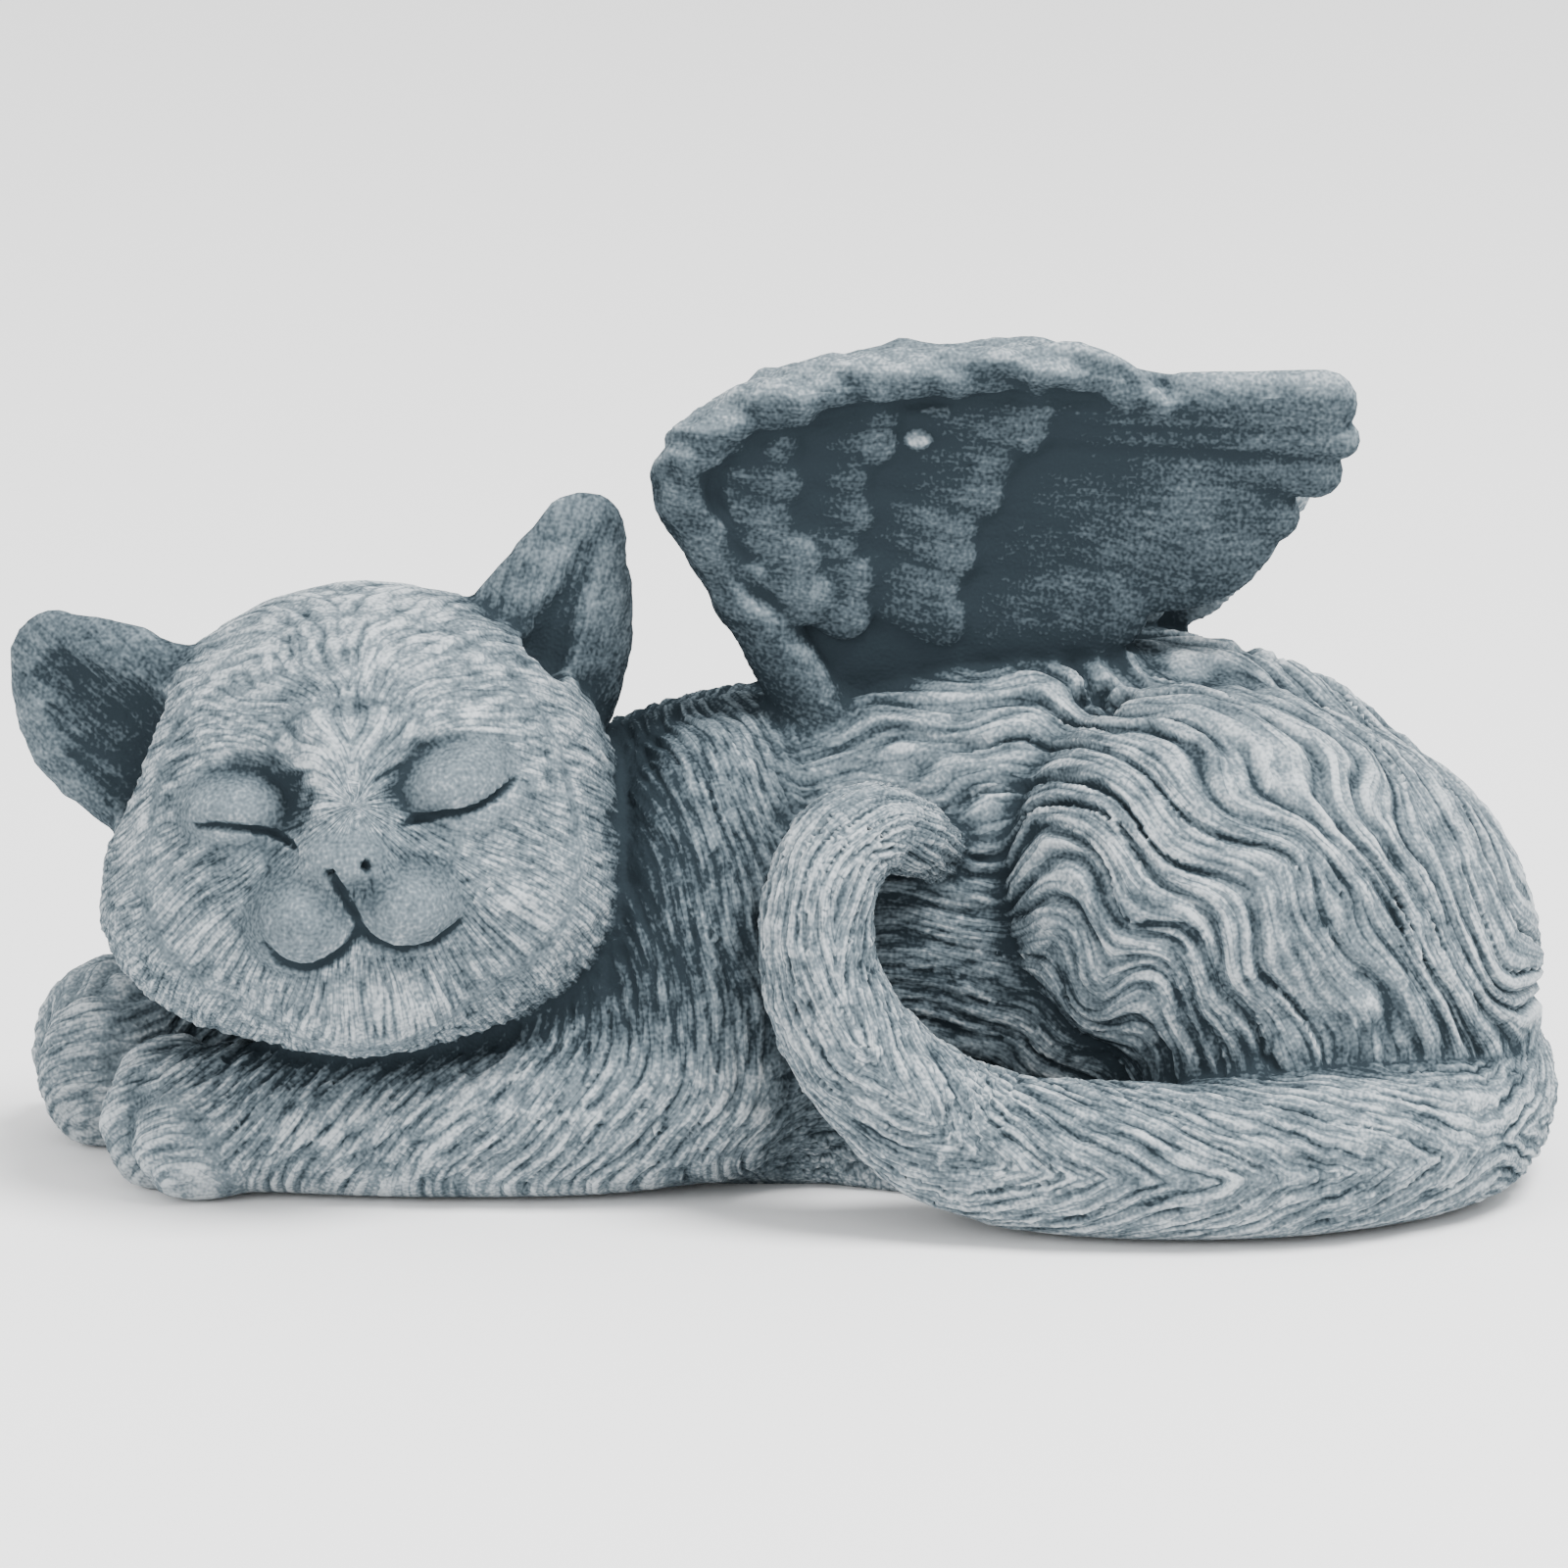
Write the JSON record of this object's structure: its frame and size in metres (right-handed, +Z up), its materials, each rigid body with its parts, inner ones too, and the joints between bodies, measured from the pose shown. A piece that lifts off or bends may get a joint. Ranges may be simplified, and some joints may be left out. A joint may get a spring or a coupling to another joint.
{
  "type": "pet memorial statue",
  "caption": "Sleeping kitten with raised feathered wings, head resting on its forepaws and tail curled along the front, cast in one piece with a flat underside.",
  "frame": {"origin": "middle of the footprint's box, on the ground", "axes": "+X from the forepaws towards the rump, -Y is the front that the face looks out of, +Z up"},
  "size_m": [0.249, 0.1094, 0.1375],
  "materials": {
    "cast_stone": "matt blue-grey cast stone with a darker wash in the grooves and dry light ridges"
  },
  "bodies": {
    "root": {"winged_kitten": "cast_stone"}
  },
  "joints": []
}
